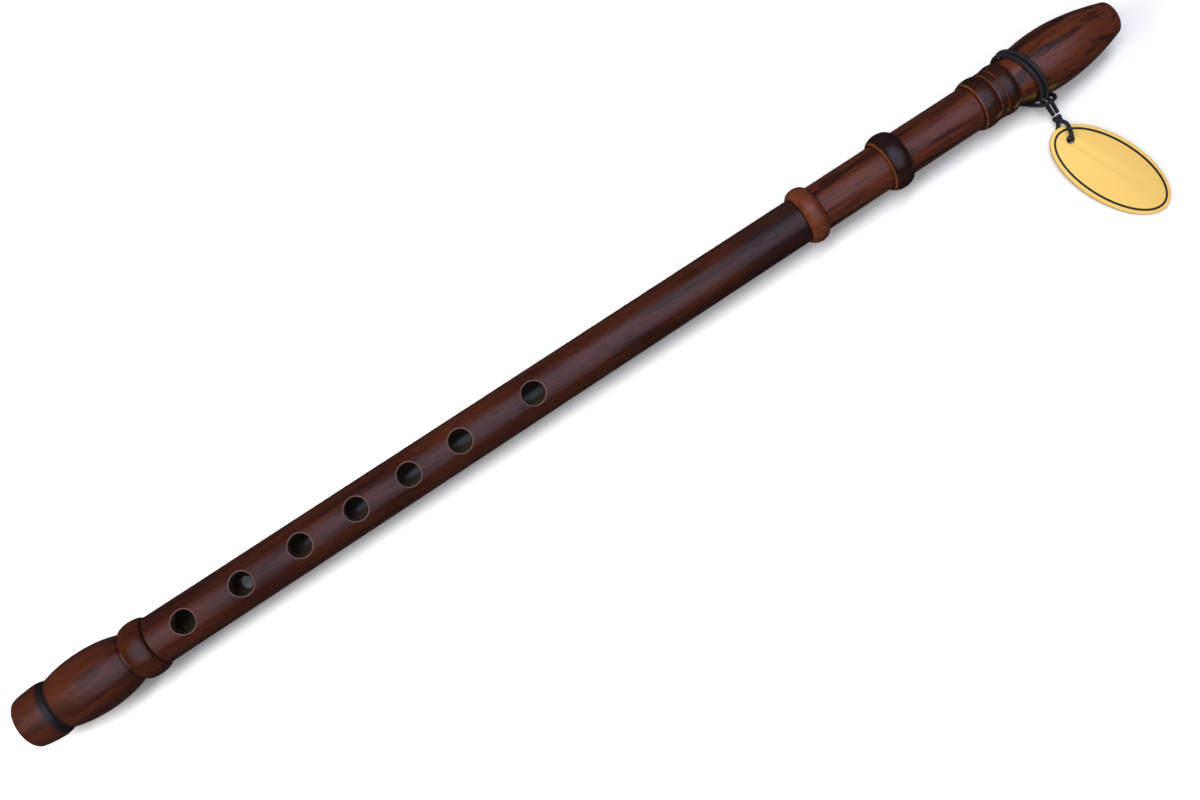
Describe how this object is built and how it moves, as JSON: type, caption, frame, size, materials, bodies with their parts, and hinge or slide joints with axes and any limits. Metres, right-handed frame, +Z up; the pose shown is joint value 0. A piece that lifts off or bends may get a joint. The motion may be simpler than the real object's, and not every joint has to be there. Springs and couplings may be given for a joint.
{
  "type": "wooden flute",
  "caption": "End-blown wooden flute in corked sections with bulbous mouthpiece and foot, turned rings, and an oval name tag on a neck cord",
  "frame": {"origin": "On the plane the flute lies on, under the middle of its length and width, measured without the cord and tag", "axes": "+X along the bore towards the mouth end, +Z up through the finger holes, +Y to the side away from the tag"},
  "size_m": [0.517, 0.0929, 0.0266],
  "materials": {
    "end_wood": "dull brown stained wood",
    "foot_wood": "dark reddish-brown stained wood, satin gloss",
    "foot_ring_wood": "dark stained wood, glossy",
    "cork": "natural cork",
    "body_wood": "dark reddish-brown stained wood, satin gloss",
    "ring_wood": "lighter reddish stained wood, glossy",
    "head_wood": "figured dark wood, satin gloss",
    "black_wood": "near-black wood, glossy",
    "bead_wood": "dark stained wood, glossy",
    "mouth_wood": "figured dark wood, satin gloss",
    "black_cord": "waxed braided cord",
    "gold_plate": "matte gold plate with a black border line"
  },
  "bodies": {
    "body": {"body_tube": "body_wood"},
    "lower_cork": {"lower_tenon_cork": "cork"},
    "foot": {"foot_bulb": "foot_wood", "foot_ring": "foot_ring_wood", "foot_end_ring": "end_wood"},
    "upper_cork": {"upper_tenon_cork": "cork"},
    "head": {"head_tube": "head_wood", "joint_ring": "ring_wood", "dark_ring": "black_wood", "double_bead_ferrule": "bead_wood"},
    "mouthpiece_cork": {"mouthpiece_tenon_cork": "cork"},
    "mouthpiece": {"mouthpiece": "mouth_wood"},
    "cord_loop": {"cord_neck_hitch": "black_cord"},
    "tag": {"tie_knot": "black_cord", "tag_loop_cord": "black_cord", "name_tag": "gold_plate"}
  },
  "joints": [
    {"name": "foot_twist", "type": "hinge", "parent": "body", "child": "lower_cork", "pos_m": [-0.19995, 0, 0.01294], "axis": [1, 0, 0], "continuous": true},
    {"name": "foot_pull", "type": "slide", "parent": "lower_cork", "child": "foot", "axis": [-1, 0, 0], "range_m": [0, 0.022]},
    {"name": "head_twist", "type": "hinge", "parent": "body", "child": "upper_cork", "pos_m": [0.10375, 0, 0.01294], "axis": [1, 0, 0], "continuous": true},
    {"name": "head_pull", "type": "slide", "parent": "upper_cork", "child": "head", "axis": [1, 0, 0], "range_m": [0, 0.022]},
    {"name": "mouthpiece_pull", "type": "slide", "parent": "head", "child": "mouthpiece_cork", "axis": [1, 0, 0], "range_m": [0, 0.022]},
    {"name": "mouthpiece_twist", "type": "hinge", "parent": "mouthpiece_cork", "child": "mouthpiece", "pos_m": [0.20655, 0, 0.01294], "axis": [1, 0, 0], "continuous": true},
    {"name": "cord_turn", "type": "hinge", "parent": "mouthpiece", "child": "cord_loop", "pos_m": [0.21307, 0, 0.01294], "axis": [1, 0, 0], "continuous": true},
    {"name": "tag_fold", "type": "hinge", "parent": "cord_loop", "child": "tag", "pos_m": [0.22295, -0.0235, 0.0022], "axis": [1, 0, 0], "range_deg": [-75, 75]}
  ]
}
